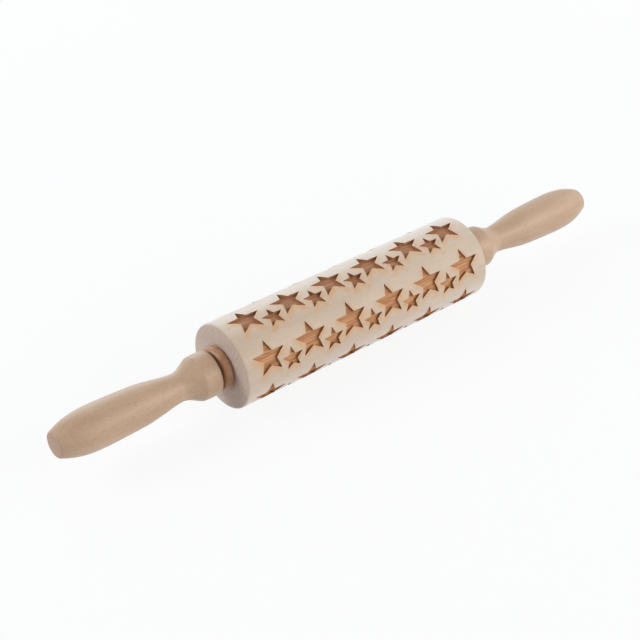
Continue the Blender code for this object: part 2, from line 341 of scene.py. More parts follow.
class PinColours(bpy.types.PropertyGroup):
    """Colours of the pin and of the floor that it lies on."""

    roller_wood: colour_prop("Roller wood", "Sanded beech", "#CDB69D")
    roller_late: colour_prop("Roller latewood", "Darker lines between the beech's rings", "#B9A188")
    fleck: colour_prop("Flecks", "Ray flecks of the beech", "#B8967A")
    end_wood: colour_prop("End grain", "Beech sawn across", "#BF9E84")
    pore: colour_prop("Pores", "Pores and rays that speckle the end grain", "#8B6B52")
    smoke: colour_prop("Smoke", "Tan haze that the burning leaves round a star", "#CC9A5E")
    floor_light: colour_prop("Star floor", "Burnt earlywood in a star", "#D3A072")
    floor_dark: colour_prop("Star floor lines", "Burnt latewood in a star", "#A46E48")
    floor_darkening: colour_prop("Floor darkening", "What the floor's colours are multiplied by near the pith", "#E4E0EC")
    wall: colour_prop("Star walls", "Burnt sides of a star", "#AE7346")
    char: colour_prop("Star rims", "Charred upper edge of a star's sides", "#5E3418")
    handle_wood: colour_prop("Handle wood", "Beech under a satin finish", "#C2A488")
    handle_late: colour_prop("Handle latewood", "Darker lines between the handle's rings", "#AF8A6A")
    handle_fleck: colour_prop("Handle flecks", "Ray flecks of the handle's beech", "#A07854")
    handle_end: colour_prop("Handle end grain", "The finished flat cap at a handle's tip", "#AC8466")
    bush_wood: colour_prop("Bush wood", "Waxed darker hardwood", "#B8875F")
    bush_late: colour_prop("Bush latewood", "Darker lines in the bush", "#8A5937")
    rod_steel: colour_prop("Rod steel", "Drawn bright steel", "#B9BBBD")
    backdrop: colour_prop("Backdrop", "White floor and backdrop", "#F4F8FF")


def between(first, second, share):
    """Go a share of the way from one size to another."""
    return first + (second - first) * share


def arc(centre_radius, centre_place, radius, start, end, steps):
    """Give the points of an arc in a turned outline, the angles counted from straight outwards."""
    angles = [start + (end - start) * step / steps for step in range(steps + 1)]
    return [(centre_radius + radius * math.cos(a), centre_place + radius * math.sin(a)) for a in angles]


def smooth_share(shares, position):
    """Read a smooth curve through a table of shares at a position from 0 to 1."""
    last = len(shares) - 1
    slopes = []
    for index in range(len(shares)):
        before = shares[max(index - 1, 0)]
        after = shares[min(index + 1, last)]
        slopes.append((after[1] - before[1]) / (after[0] - before[0]))
    slopes[last] = 0.0
    index = 0
    while index < last - 1 and position > shares[index + 1][0]:
        index += 1
    span = shares[index + 1][0] - shares[index][0]
    t = (position - shares[index][0]) / span
    start_part = (1 + 2 * t) * (1 - t) ** 2 * shares[index][1] + t * (1 - t) ** 2 * span * slopes[index]
    end_part = t * t * (3 - 2 * t) * shares[index + 1][1] - t * t * (1 - t) * span * slopes[index + 1]
    return start_part + end_part


def turned(name, outline, segments, way=1):
    """Turn an outline of (radius, place along X) points round the pin's axis. A way of -1 mirrors it."""
    shape = bmesh.new()
    points = [shape.verts.new((way * place, 0, radius)) for radius, place in outline]
    edges = [shape.edges.new(pair) for pair in zip(points, points[1:])]
    if outline[0][0] > 0:
        edges.append(shape.edges.new((points[-1], points[0])))
    bmesh.ops.spin(
        shape, geom=points + edges, axis=(1, 0, 0), angle=FULL_TURN, steps=segments, use_merge=True
    )
    bmesh.ops.remove_doubles(shape, verts=shape.verts, dist=MERGE_DISTANCE)
    bmesh.ops.recalc_face_normals(shape, faces=shape.faces)
    bmesh.ops.translate(shape, verts=shape.verts, vec=MIDDLE)
    mesh = bpy.data.meshes.new(name)
    shape.to_mesh(mesh)
    shape.free()
    mesh.shade_smooth()
    mesh.set_sharp_from_angle(angle=CREASE_ANGLE)
    return new_object(name, mesh)


def dress(piece, body, node):
    """Let a finished piece, with its materials on it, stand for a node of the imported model."""
    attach(piece, body)
    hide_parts(node)


def turn_pair(kind, outline, segments, material, body):
    """Turn a left and a right piece of one kind, and dress both."""
    for side, way in (("left", -1), ("right", 1)):
        piece = turned(f"{side}_{kind}", outline, segments, way)
        piece.data.materials.append(material)
        dress(piece, body, f"{kind}_{side}")


def roller_outline(sizes):
    """Outline of the plain roller: rounded rims, a through bore and a counterbore for each bush."""
    end = sizes.roller_length / 2
    shoulder = end - sizes.socket_depth
    rim_centre = sizes.roller_radius - sizes.roller_rim
    rim_place = end - sizes.roller_rim
    outline = [(sizes.socket_radius, end)]
    outline += arc(rim_centre, rim_place, sizes.roller_rim, math.pi / 2, 0, RIM_STEPS)
    outline += arc(rim_centre, -rim_place, sizes.roller_rim, 0, -math.pi / 2, RIM_STEPS)
    outline += [(sizes.socket_radius, -end), (sizes.socket_radius, -shoulder), (sizes.bore_radius, -shoulder)]
    outline += [(sizes.bore_radius, shoulder), (sizes.socket_radius, shoulder)]
    return outline


def bush_outline(sizes):
    """Outline of a bush: a round flange, widest near the roller's face, and a sleeve inside the roller."""
    face = sizes.roller_length / 2
    bore_radius = sizes.rod_radius + sizes.fit_gap
    foot = face + sizes.fit_gap
    top = foot + sizes.flange_thickness
    bead_height = sizes.flange_thickness / 2
    bead_centre = sizes.flange_radius - bead_height
    widest = foot + sizes.flange_edge
    outline = [(bore_radius, top)]
    for radius, place in arc(0, 0, 1, math.pi / 2, 0, BEAD_STEPS):
        outline.append((bead_centre + bead_height * radius, between(widest, top, place)))
    outline += arc(sizes.flange_radius - sizes.flange_edge, widest, sizes.flange_edge,
                   0, -math.pi / 2, BEAD_STEPS)[1:]
    outline += [(sizes.sleeve_radius, foot), (sizes.sleeve_radius, face - sizes.sleeve_length)]
    outline += [(bore_radius, face - sizes.sleeve_length)]
    return outline


def handle_outline(sizes):
    """Outline of a handle, from its tip to the collar's face, and back up the socket for the rod."""
    face = sizes.handle_start
    knee = face + sizes.collar_length
    neck = knee + sizes.cove_length
    belly = neck + sizes.rise_length
    tip = sizes.overall_length / 2
    outline = [(0, tip)]
    outline += arc(sizes.tip_radius - sizes.tip_edge, tip - sizes.tip_edge, sizes.tip_edge,
                   math.pi / 2, 0, EDGE_STEPS)[:-1]
    last_share = 1 - sizes.tip_edge / (tip - belly)
    for step in range(TIP_STEPS):
        t = last_share * (1 - step / TIP_STEPS)
        radius = between(sizes.tip_radius, sizes.belly_radius, 1 - t ** TIP_CURVE_POWER)
        outline.append((radius, between(belly, tip, t)))
    for step in range(RISE_STEPS):
        t = 1 - step / RISE_STEPS
        radius = between(sizes.neck_radius, sizes.belly_radius, smooth_share(RISE_SHARES, t))
        outline.append((radius, neck + sizes.rise_length * t))
    for step in range(COVE_STEPS):
        t = 1 - step / COVE_STEPS
        radius = between(sizes.collar_radius, sizes.neck_radius, smooth_share(COVE_SHARES, t))
        outline.append((radius, knee + sizes.cove_length * t))
    for step in range(CROWN_STEPS):
        # A parabola that reaches the crown's full height in the collar's middle
        t = 1 - step / CROWN_STEPS
        radius = sizes.collar_radius + 4 * sizes.collar_crown * t * (1 - t)
        outline.append((radius, face + sizes.collar_edge + (sizes.collar_length - sizes.collar_edge) * t))
    outline += arc(sizes.collar_radius - sizes.collar_edge, face + sizes.collar_edge, sizes.collar_edge,
                   0, -math.pi / 2, EDGE_STEPS)
    bore_radius = sizes.rod_radius + sizes.fit_gap
    bore_end = face + sizes.rod_in_handle + sizes.fit_gap
    return outline + [(bore_radius, face), (bore_radius, bore_end), (0, bore_end)]


def off_axis(add, place):
    """How far a place lies from the line along X that it is measured from."""
    outward = add(VECTOR_MATH, [place, (0, 1, 1)], operation="MULTIPLY")
    return add(VECTOR_MATH, [outward], operation="LENGTH")


def unit_star(add, notch_share):
    """A flat star of unit size with a tip towards +Y, its edges in short runs so that they can bend."""
    curve = add("GeometryNodeCurveStar", {
        "Points": STAR_POINTS, "Inner Radius": notch_share, "Outer Radius": 1.0, "Twist": 0.0})
    upright = add("GeometryNodeTransform", {"Geometry": curve, "Rotation": (0, 0, math.pi / 2)})
    fine = add("GeometryNodeSubdivideCurve", {"Curve": upright, "Cuts": STAR_EDGE_CUTS})
    return add("GeometryNodeFillCurve", {"Curve": fine}, mode="NGONS")


def star_cutter(add, face, width, height, depth):
    """A flat star cutter: it reaches from the pocket's floor to above the roller's surface at height 0."""
    # A tall prism of the star, closed at both ends
    unit_width = add(MATH, [width, UNIT_STAR_WIDTH], operation="DIVIDE")
    unit_height = add(MATH, [height, UNIT_STAR_HEIGHT], operation="DIVIDE")
    scale = add("ShaderNodeCombineXYZ", [unit_width, unit_height, 1.0])
    foot = add("GeometryNodeTransform", {
        "Geometry": face, "Scale": scale, "Translation": (0, 0, -PRISM_REACH)})
    tall = add("GeometryNodeExtrudeMesh", {
        "Mesh": foot, "Offset": (0, 0, 1), "Offset Scale": 2 * PRISM_REACH, "Individual": False,
    }, mode="FACES")
    flipped = add("GeometryNodeFlipFaces", {"Mesh": foot})
    both = add("GeometryNodeJoinGeometry", {"Geometry": [tall, flipped]})
    prism = add("GeometryNodeMergeByDistance", {"Geometry": both, "Distance": MERGE_DISTANCE})

    # A slab ruled with lines across, so that the floor can bend. It leaves only its own height of the prism
    slab_depth = add(MATH, [depth, CUTTER_OVERRUN], operation="ADD")
    slab_place = add(MATH, [slab_depth, -0.5, CUTTER_OVERRUN], operation="MULTIPLY_ADD")
    slab_width = add(MATH, [width, CUTTER_MARGIN], operation="MULTIPLY")
    slab_height = add(MATH, [height, CUTTER_MARGIN], operation="MULTIPLY")
    slab_size = add("ShaderNodeCombineXYZ", [slab_width, slab_height, slab_depth])
    slab = add("GeometryNodeMeshCube", {
        "Size": slab_size, "Vertices X": 2, "Vertices Y": STAR_FLOOR_LINES, "Vertices Z": 2})
    lift = add("ShaderNodeCombineXYZ", {"Z": slab_place})
    sunk = add("GeometryNodeTransform", {"Geometry": slab, "Translation": lift})
    star = add("GeometryNodeMeshBoolean", {"Mesh 2": [sunk, prism]}, operation="INTERSECT", solver="EXACT")

    # The walls lean in a little towards the floor
    where = add("GeometryNodeInputPosition")
    place = add("ShaderNodeSeparateXYZ", [where])
    below = add(MATH, [place.outputs["Z"], 0.0], operation="LESS_THAN")
    drawn_in = add(VECTOR_MATH, [where, (WALL_TAPER, WALL_TAPER, 1)], operation="MULTIPLY")
    return add("GeometryNodeSetPosition", {"Geometry": star, "Selection": below, "Position": drawn_in})


def star_field(add, given, cutter, fewer, drop):
    """Lay star cutters out flat: along the roller in X, and back round it in Y from the first row."""
    row_turn = add(MATH, [FULL_TURN, given["Star Rows"]], operation="DIVIDE")
    row_step = add(MATH, [row_turn, given["Roller Radius"]], operation="MULTIPLY")
    row_gaps = add(MATH, [given["Star Rows"], 1.0], operation="SUBTRACT")
    height = add(MATH, [row_gaps, row_step], operation="MULTIPLY")
    columns = add(MATH, [given["Stars Per Row"], fewer], operation="SUBTRACT")
    column_gaps = add(MATH, [columns, 1.0], operation="SUBTRACT")
    width = add(MATH, [column_gaps, given["Star Pitch"]], operation="MULTIPLY")
    grid = add("GeometryNodeMeshGrid", {
        "Size X": width, "Size Y": height, "Vertices X": columns, "Vertices Y": given["Star Rows"]})
    first_arc = add(MATH, [given["First Row"], given["Roller Radius"]], operation="MULTIPLY")
    middle_arc = add(MATH, [height, 0.5, first_arc], operation="MULTIPLY_ADD")
    lowered = add(MATH, [middle_arc, drop], operation="ADD")
    back = add(MATH, [lowered, -1.0], operation="MULTIPLY")
    shift = add("ShaderNodeCombineXYZ", {"Y": back})
    laid = add("GeometryNodeTransform", {"Geometry": grid, "Translation": shift})
    return add("GeometryNodeInstanceOnPoints", {"Points": laid, "Instance": cutter})


def bent_round(add, given, flat):
    """Bend flat cutters round the roller: their Y runs round it, and their Z is the height over it."""
    place = add("ShaderNodeSeparateXYZ", [add("GeometryNodeInputPosition")])
    turn = add(MATH, [place.outputs["Y"], given["Roller Radius"]], operation="DIVIDE")
    sine = add(MATH, [turn], operation="SINE")
    cosine = add(MATH, [turn], operation="COSINE")
    reach = add(MATH, [place.outputs["Z"], given["Roller Radius"]], operation="ADD")
    round_y = add(MATH, [reach, sine], operation="MULTIPLY")
    round_z = add(MATH, [reach, cosine, given["Axis Height"]], operation="MULTIPLY_ADD")
    bent = add("ShaderNodeCombineXYZ", [place.outputs["X"], round_y, round_z])
    return add("GeometryNodeSetPosition", {"Geometry": flat, "Position": bent})


def pocket_faces(add, given):
    """Find the faces of the pockets: below the roller's surface, and between its rims."""
    where = add("GeometryNodeInputPosition")
    axis = add("ShaderNodeCombineXYZ", {"Z": given["Axis Height"]})
    centred = add(VECTOR_MATH, [where, axis], operation="SUBTRACT")
    sunk = add(MATH, [given["Roller Radius"], off_axis(add, centred)], operation="SUBTRACT")
    depth_share = add(MATH, [sunk, given["Pocket Depth"]], operation="DIVIDE")
    in_depth = add(MATH, [depth_share, POCKET_SHARE, POCKET_SHARE_REACH], operation="COMPARE")
    half_length = add(MATH, [given["Length Between Rims"], 0.5], operation="MULTIPLY")
    place = add("ShaderNodeSeparateXYZ", [where])
    from_middle = add(MATH, [place.outputs["X"]], operation="ABSOLUTE")
    between_rims = add(MATH, [from_middle, half_length], operation="LESS_THAN")
    return add(MATH, [in_depth, between_rims], operation="MULTIPLY")


def star_tree():
    """Geometry nodes that cut rows of bent star pockets all round a turned blank."""
    tree, add, given = new_group("star_pockets", "GeometryNodeTree", {
        "Geometry": ["Blank"],
        "Float": [*STAR_SIZES, "Length Between Rims", "Axis Height"],
        "Int": STAR_COUNTS,
        "Material": ["Surface Material", "Pocket Material"],
    }, {"Geometry": ["Engraved"]})
    face = unit_star(add, given["Notch Share"])
    depth = given["Pocket Depth"]
    fields = []
    for size, fewer, drop in (("Big", 0.0, 0.0), ("Small", 1.0, given["Small Drop"])):
        cutter = star_cutter(add, face, given[size + " Width"], given[size + " Height"], depth)
        fields.append(star_field(add, given, cutter, fewer, drop))
    joined = add("GeometryNodeJoinGeometry", {"Geometry": fields})
    stars = bent_round(add, given, add("GeometryNodeRealizeInstances", {"Geometry": joined}))
    cut = add("GeometryNodeMeshBoolean", {"Mesh 1": given["Blank"], "Mesh 2": stars},
              operation="DIFFERENCE", solver="EXACT")
    whole = add("GeometryNodeRealizeInstances", {"Geometry": cut})
    surfaced = add("GeometryNodeSetMaterial", {"Geometry": whole, "Material": given["Surface Material"]})
    dressed = add("GeometryNodeSetMaterial", {
        "Geometry": surfaced, "Selection": pocket_faces(add, given), "Material": given["Pocket Material"]})
    add("NodeGroupOutput", {"Engraved": dressed})
    return tree


def bake_geometry(piece, tree, values):
    """Run a geometry node tree on a piece with the given inputs, and keep the result as its plain mesh."""
    modifier = piece.modifiers.new(tree.name, "NODES")
    modifier.node_group = tree
    for item in tree.interface.items_tree:
        if item.in_out == "INPUT" and item.name in values:
            modifier[item.identifier] = values[item.name]
    bpy.context.view_layer.update()
    evaluated = piece.evaluated_get(bpy.context.evaluated_depsgraph_get())
    mesh = bpy.data.meshes.new_from_object(evaluated)
    piece.modifiers.remove(modifier)
    mesh.name = piece.name
    piece.data = mesh
    shape = bmesh.new()
    shape.from_mesh(mesh)
    bmesh.ops.remove_doubles(shape, verts=shape.verts, dist=MERGE_DISTANCE)
    bmesh.ops.dissolve_degenerate(shape, edges=shape.edges, dist=MERGE_DISTANCE)
    shape.to_mesh(mesh)
    shape.free()


def stretched(add, place, size):
    """Measure a place in a pattern's own length along the grain and width across it."""
    length, width = size
    return add(VECTOR_MATH, [place, (1 / length, 1 / width, 1 / width)], operation="MULTIPLY")


def beech_grain():
    """Node group with the figure of beech, its grain along X, read from a place in metres off the pith.

    Rings gives the thin latewood lines, Flecks the short brown ray flecks, Fibres the fine streaks and
    Clouds the slow change of tone. Pores gives the speckle of the end grain.
    """
    tree, add, given = new_group("beech_grain", "ShaderNodeTree", {"Vector": ["Place"]},
                                 {"Float": ["Rings", "Flecks", "Fibres", "Clouds", "Pores"]})
    place = given["Place"]
    slow = add(VECTOR_MATH, [place, (RING_WANDER, 1, 1)], operation="MULTIPLY")
    rings = add("ShaderNodeTexWave", {
        "Vector": slow, "Scale": WAVE_PERIOD / RING_SPACING, "Distortion": 5.0, "Detail": 2.0,
        "Detail Scale": 0.6, "Detail Roughness": 0.5,
    }, wave_type="RINGS", rings_direction="X", wave_profile="SAW")
    lines = add(MAP_RANGE, [rings.outputs["Fac"], *RING_LEVELS], interpolation_type="SMOOTHSTEP")
    # One spindle lies somewhere in each cell of a fleck's size
    cells = add("ShaderNodeTexVoronoi", {
        "Vector": stretched(add, place, FLECK_SIZE), "Scale": 1.0, "Randomness": 1.0})
    flecks = add(MAP_RANGE, [cells, *FLECK_LEVELS], interpolation_type="SMOOTHSTEP")
    fibres = add(NOISE, {"Vector": stretched(add, place, FIBRE_SIZE), "Scale": 1.0, "Detail": 3.0})
    clouds = add(NOISE, {"Vector": stretched(add, place, CLOUD_SIZE), "Scale": 1.0, "Detail": 2.0})
    specks = add(NOISE, {"Vector": place, "Scale": 1 / PORE_SPACING, "Detail": 3.0})
    add("NodeGroupOutput", {
        "Rings": lines, "Flecks": flecks, "Fibres": fibres, "Clouds": clouds, "Pores": specks})
    return tree


def star_distance(sizes):
    """Node group: how far a place on the roller lies outside the nearest star's edge, below 0 inside it."""
    tree, add, given = new_group(
        "star_distance", "ShaderNodeTree", {"Float": ["Along", "Turn"]}, {"Float": ["Distance"]})
    row_step = FULL_TURN / sizes.star_rows
    # Which way a star's edge, from its tip down to a notch beside it, faces
    notch = sizes.notch_share
    facing = Vector((1 - notch * math.cos(TIP_TO_NOTCH), notch * math.sin(TIP_TO_NOTCH))).normalized()
    small_turn = sizes.small_drop / sizes.roller_radius
    found = []
    for width, height, count, drop in (
        (sizes.big_width, sizes.big_height, sizes.stars_per_row, 0.0),
        (sizes.small_width, sizes.small_height, sizes.stars_per_row - 1, small_turn),
    ):
        start = -(count - 1) / 2 * sizes.star_pitch
        unit_width = width / UNIT_STAR_WIDTH
        unit_height = height / UNIT_STAR_HEIGHT
        # The place beside the nearest star's centre, across and up, in that star's own units
        run = add(MATH, [given["Along"], start], operation="SUBTRACT")
        pitches = add(MATH, [run, sizes.star_pitch], operation="DIVIDE")
        nearest = add(MATH, [pitches], operation="ROUND")
        not_before = add(MATH, [nearest, 0.0], operation="MAXIMUM")
        column = add(MATH, [not_before, count - 1.0], operation="MINIMUM")
        centre = add(MATH, [column, sizes.star_pitch], operation="MULTIPLY")
        off_centre = add(MATH, [run, centre], operation="SUBTRACT")
        across = add(MATH, [off_centre, unit_width], operation="DIVIDE")
        past_first = add(MATH, [given["Turn"], sizes.first_row + drop], operation="SUBTRACT")
        rows = add(MATH, [past_first, row_step], operation="DIVIDE")
        row = add(MATH, [rows], operation="ROUND")
        part = add(MATH, [rows, row], operation="SUBTRACT")
        up = add(MATH, [part, -row_step * sizes.roller_radius / unit_height], operation="MULTIPLY")
        # Folded at its tips and notches, a star has one straight edge, and its tip lies straight ahead
        flat = add("ShaderNodeCombineXYZ", [across, up, 0.0])
        reach = add(VECTOR_MATH, [flat], operation="LENGTH")
        angle = add(MATH, [across, up], operation="ARCTAN2")
        unsigned = add(MATH, [angle], operation="ABSOLUTE")
        folded = add(MATH, [unsigned, TIP_TO_NOTCH], operation="PINGPONG")
        cosine = add(MATH, [folded], operation="COSINE")
        sine = add(MATH, [folded], operation="SINE")
        past_tip = add(MATH, [reach, cosine, -1.0], operation="MULTIPLY_ADD")
        beside_tip = add(MATH, [reach, sine], operation="MULTIPLY")
        ahead = add(MATH, [past_tip, facing.y], operation="MULTIPLY")
        outside = add(MATH, [beside_tip, facing.x, ahead], operation="MULTIPLY_ADD")
        # Past a tip, the tip itself is nearer than its edges' lines
        past_reach = add(MATH, [reach, 1.0], operation="SUBTRACT")
        farther = add(MATH, [outside, past_reach], operation="MAXIMUM")
        found.append(add(MATH, [farther, unit_height], operation="MULTIPLY"))
    add("NodeGroupOutput", {"Distance": add(MATH, found, operation="MINIMUM")})
    return tree


def new_material(name, roughness, metallic=0.0, sheen=0.0):
    """Start a material, and give the function that adds its nodes, its shader and its coordinates."""
    material = bpy.data.materials.new(name)
    material.use_nodes = True
    add = partial(add_node, material.node_tree)
    shader = material.node_tree.nodes["Principled BSDF"]
    feed(shader, {"Roughness": roughness, "Metallic": metallic})
    feed(shader, {"Sheen Weight": sheen, "Sheen Roughness": SHEEN_ROUGHNESS})
    return material, add, shader, add("ShaderNodeTexCoord").outputs


def measured_from(add, coordinates, origin):
    """A place on the piece, measured from a point in metres."""
    return add(VECTOR_MATH, [coordinates["Object"], origin], operation="SUBTRACT")


def add_figure(add, place):
    """Add the group with the figure of beech, read at a place measured from the pith."""
    group = bpy.data.node_groups.get("beech_grain") or beech_grain()
    return add("ShaderNodeGroup", {"Place": place}, node_tree=group).outputs


def raise_relief(add, shader, pattern, height):
    """Raise a surface by a pattern from 0 to 1, where it is 1 by a height in metres."""
    lifted = add(MATH, [pattern, height], operation="MULTIPLY")
    feed(shader, {"Normal": add("ShaderNodeBump", {"Height": lifted, "Distance": 1.0, "Strength": 1.0})})


def beech_colour(add, coordinates, figure, shares, wood, late, fleck, end, pore):
    """Colour wood by its figure, whose patterns each show with their own share.

    The colours are those of the wood, its latewood, its flecks, its end grain and the pores there.
    """
    for pattern, levels in FIGURE_LEVELS.items():
        amount = add(MAP_RANGE, [figure[pattern], *levels, 0.0, shares[pattern]])
        wood = add(MIX, [amount, wood, fleck if pattern == "Flecks" else late], data_type="RGBA")
    # Sawn across, the wood is darker and speckled with pores
    speckle = add(MAP_RANGE, [figure["Pores"], *PORE_LEVELS, 0.0, END_PORE_SHARE])
    rings = add(MAP_RANGE, [figure["Rings"], 0.0, 1.0, 0.0, END_RING_SHARE])
    for amount in (speckle, rings):
        end = add(MIX, [amount, end, pore], data_type="RGBA")
    facing = add("ShaderNodeSeparateXYZ", [coordinates["Normal"]])
    sideways = add(MATH, [facing.outputs["X"]], operation="ABSOLUTE")
    endwise = add(MAP_RANGE, [sideways, *END_GRAIN_LEVELS])
    return add(MIX, [endwise, wood, end], data_type="RGBA")


def smoke_share(add, sizes, centred):
    """How much smoke lies on the roller: about 4.6 mm below a star, 2.8 mm beside it and 1.0 mm above it."""
    axes = add("ShaderNodeSeparateXYZ", [centred]).outputs
    forward = add(MATH, [axes["Y"], -1.0], operation="MULTIPLY")
    turn = add(MATH, [forward, axes["Z"]], operation="ARCTAN2")
    lowered = add(MATH, [turn, SMOKE_DRIFT / sizes.roller_radius], operation="SUBTRACT")
    away = add("ShaderNodeGroup", {"Along": axes["X"], "Turn": lowered}, node_tree=star_distance(sizes))
    # It hangs unevenly, in puffs
    puffs = add(NOISE, {"Vector": centred, "Scale": 1 / PUFF_WIDTH, "Detail": 1.0})
    puff_reach = add(MAP_RANGE, [puffs, *PUFF_LEVELS, -SMOKE_PUFF, SMOKE_PUFF])
    uneven = add(MATH, [away, puff_reach], operation="SUBTRACT")
    return add(MAP_RANGE, [uneven, SMOKE_REACH, -SMOKE_DRIFT], interpolation_type="SMOOTHSTEP")


def sanded_beech(sizes, colours):
    """Raw beech, turned and sanded: pale and dull, with short brown flecks.

    The smoke of the laser that burns the stars leaves a tan haze on it, longest below each star.
    """
    material, add, shader, coordinates = new_material(
        "raw_sanded_beech", RAW_WOOD_ROUGHNESS, sheen=RAW_WOOD_SHEEN)
    figure = add_figure(add, measured_from(add, coordinates, ROLLER_PITH))
    wood = beech_colour(
        add, coordinates, figure, ROLLER_FIGURE, wood=colours.roller_wood, late=colours.roller_late,
        fleck=colours.fleck, end=colours.end_wood, pore=colours.pore,
    )
    smoke = smoke_share(add, sizes, measured_from(add, coordinates, MIDDLE))
    feed(shader, {"Base Color": add(MIX, [smoke, wood, colours.smoke], data_type="RGBA")})
    raise_relief(add, shader, figure["Fibres"], SANDED_RELIEF)
    return material


def burnt_beech(sizes, colours):
    """Beech cut by a laser: brown and dead matt, its walls charred, its latewood left as darker ridges."""
    material, add, shader, coordinates = new_material("laser_burnt_beech", BURNT_WOOD_ROUGHNESS)
    place = measured_from(add, coordinates, ROLLER_PITH)
    rings = add_figure(add, place)["Rings"]
    # Wavy burnt lines run between the rings' own
    burn = add(NOISE, {
        "Vector": stretched(add, place, BURN_LINE_SIZE), "Scale": 1.0, "Detail": 3.0, "Distortion": 0.8})
    bands = add(MAP_RANGE, [burn, *BURN_LINE_LEVELS])
    faint_rings = add(MATH, [rings, BURNT_RING_SHARE], operation="MULTIPLY")
    lines = add(MATH, [bands, faint_rings], operation="MAXIMUM")
    burnt = add(MIX, [lines, colours.floor_light, colours.floor_dark], data_type="RGBA")
    # Towards the pith, on the roller's upper back side, the floor's colours are multiplied darker and cooler
    near_pith = add(MAP_RANGE, [off_axis(add, place), FLOOR_DARKENING_END, FLOOR_DARKENING_START])
    burnt = add(MIX, [near_pith, burnt, colours.floor_darkening], data_type="RGBA", blend_type="MULTIPLY")
    # The walls are charred only along their upper edge. The floor's tone climbs their lower part
    reach = off_axis(add, measured_from(add, coordinates, MIDDLE))
    depth = add(MATH, [sizes.roller_radius, reach], operation="SUBTRACT")
    rim = add(MAP_RANGE, [depth, CHAR_END_DEPTH, CHAR_FULL_DEPTH])
    wall = add(MIX, [rim, colours.wall, colours.char], data_type="RGBA")
    tone_depths = [share * sizes.pocket_depth for share in (FLOOR_TONE_START, FLOOR_TONE_FULL)]
    floor = add(MAP_RANGE, [depth, *tone_depths])
    feed(shader, {"Base Color": add(MIX, [floor, wall, burnt], data_type="RGBA")})
    # The latewood stands above the rest of the floor
    raise_relief(add, shader, add(MATH, [lines, floor], operation="MULTIPLY"), BURNT_RELIEF)
    return material


def turned_wood(name, roughness, sheen, pith, shares, **wood_colours):
    """A turned and finished piece of plain hardwood, its grain along X."""
    material, add, shader, coordinates = new_material(name, roughness, sheen=sheen)
    figure = add_figure(add, measured_from(add, coordinates, pith))
    feed(shader, {"Base Color": beech_colour(add, coordinates, figure, shares, **wood_colours)})
    raise_relief(add, shader, figure["Fibres"], FINISHED_RELIEF)
    return material


def waxed_hardwood(colours):
    """Waxed hardwood: deeper and redder than the beech, with a soft gloss from the wax."""
    return turned_wood(
        "waxed_hardwood", WAXED_WOOD_ROUGHNESS, WAXED_WOOD_SHEEN, BUSH_PITH, BUSH_FIGURE,
        wood=colours.bush_wood, late=colours.bush_late, fleck=colours.bush_late, end=colours.bush_wood,
        pore=colours.bush_late,
    )


def satin_beech(colours):
    """Beech under a thin satin finish: smoother and a little deeper in tone than the raw roller."""
    return turned_wood(
        "satin_finished_beech", FINISHED_WOOD_ROUGHNESS, FINISHED_WOOD_SHEEN, HANDLE_PITH, HANDLE_FIGURE,
        wood=colours.handle_wood, late=colours.handle_late, fleck=colours.handle_fleck,
        end=colours.handle_end, pore=colours.pore,
    )


def drawn_steel(colours):
    """Bright carbon steel, drawn through a die: fine scratches run along it and its gloss is soft."""
    material, add, shader, coordinates = new_material("bright_drawn_steel", STEEL_ROUGHNESS, metallic=1.0)
    along = stretched(add, coordinates["Object"], SCRATCH_SIZE)
    scratches = add(NOISE, {"Vector": along, "Scale": 1.0, "Detail": 2.0})
    dull = (*[STEEL_SCRATCH_TONE * channel for channel in colours.rod_steel[:3]], 1.0)
    feed(shader, {
        "Base Color": add(MIX, [scratches, colours.rod_steel, dull], data_type="RGBA"),
        "Roughness": add(MAP_RANGE, [scratches, 0.0, 1.0, STEEL_ROUGHNESS, STEEL_SCRATCH_ROUGHNESS]),
    })
    return material


def shown_share(add, share):
    """A factor for what the camera sees directly, in a gloss or through glass, and 0 for other light."""
    path = add("ShaderNodeLightPath").outputs
    seen = path["Is Camera Ray"]
    for kind in ("Is Glossy Ray", "Is Transmission Ray"):
        seen = add(MATH, [seen, path[kind]], operation="MAXIMUM")
    return add(MATH, [seen, share], operation="MULTIPLY")


def white_paper(colours):
    """Matt white paper. Away from the pin it turns as white as the tent behind it."""
    material = bpy.data.materials.new("matt_white_paper")
    add = bare_tree(material)
    paper = add("ShaderNodeBsdfDiffuse", {"Color": colours.backdrop})
    glow = add("ShaderNodeEmission", {"Color": (1, 1, 1, 1), "Strength": 1.0})
    spot = add("ShaderNodeTexCoord")
    away = add(VECTOR_MATH, [spot.outputs["Object"]], operation="LENGTH")
    share = add(MAP_RANGE, [away, GLOW_RISE_START, GLOW_RISE_END, FLOOR_GLOW_SHARE, 1.0])
    shown = add("ShaderNodeMixShader", [shown_share(add, share), paper, glow])
    add("ShaderNodeOutputMaterial", {"Surface": shown})
    return material


def make_floor(sizes, colours):
    """Lay the floor under the round roller's lowest line."""
    shape = bmesh.new()
    bmesh.ops.create_grid(shape, x_segments=1, y_segments=1, size=FLOOR_SIZE / 2)
    bmesh.ops.translate(shape, verts=shape.verts, vec=(0, 0, AXIS_HEIGHT - sizes.roller_radius))
    mesh = bpy.data.meshes.new("floor")
    shape.to_mesh(mesh)
    shape.free()
    mesh.materials.append(white_paper(colours))
    new_object("floor", mesh)


def make_tent():
    """Put the white tent round the pin: it shows white, and gives a weaker, slightly warm light."""
    world = bpy.data.worlds.new("white_tent")
    bpy.context.scene.world = world
    add = bare_tree(world)
    tent = add("ShaderNodeBackground", {"Color": srgb(TENT_LIGHT), "Strength": TENT_STRENGTH})
    white = add("ShaderNodeBackground", {"Color": (1, 1, 1, 1), "Strength": 1.0})
    shown = add("ShaderNodeMixShader", [shown_share(add, 1.0), tent, white])
    add("ShaderNodeOutputWorld", {"Surface": shown})


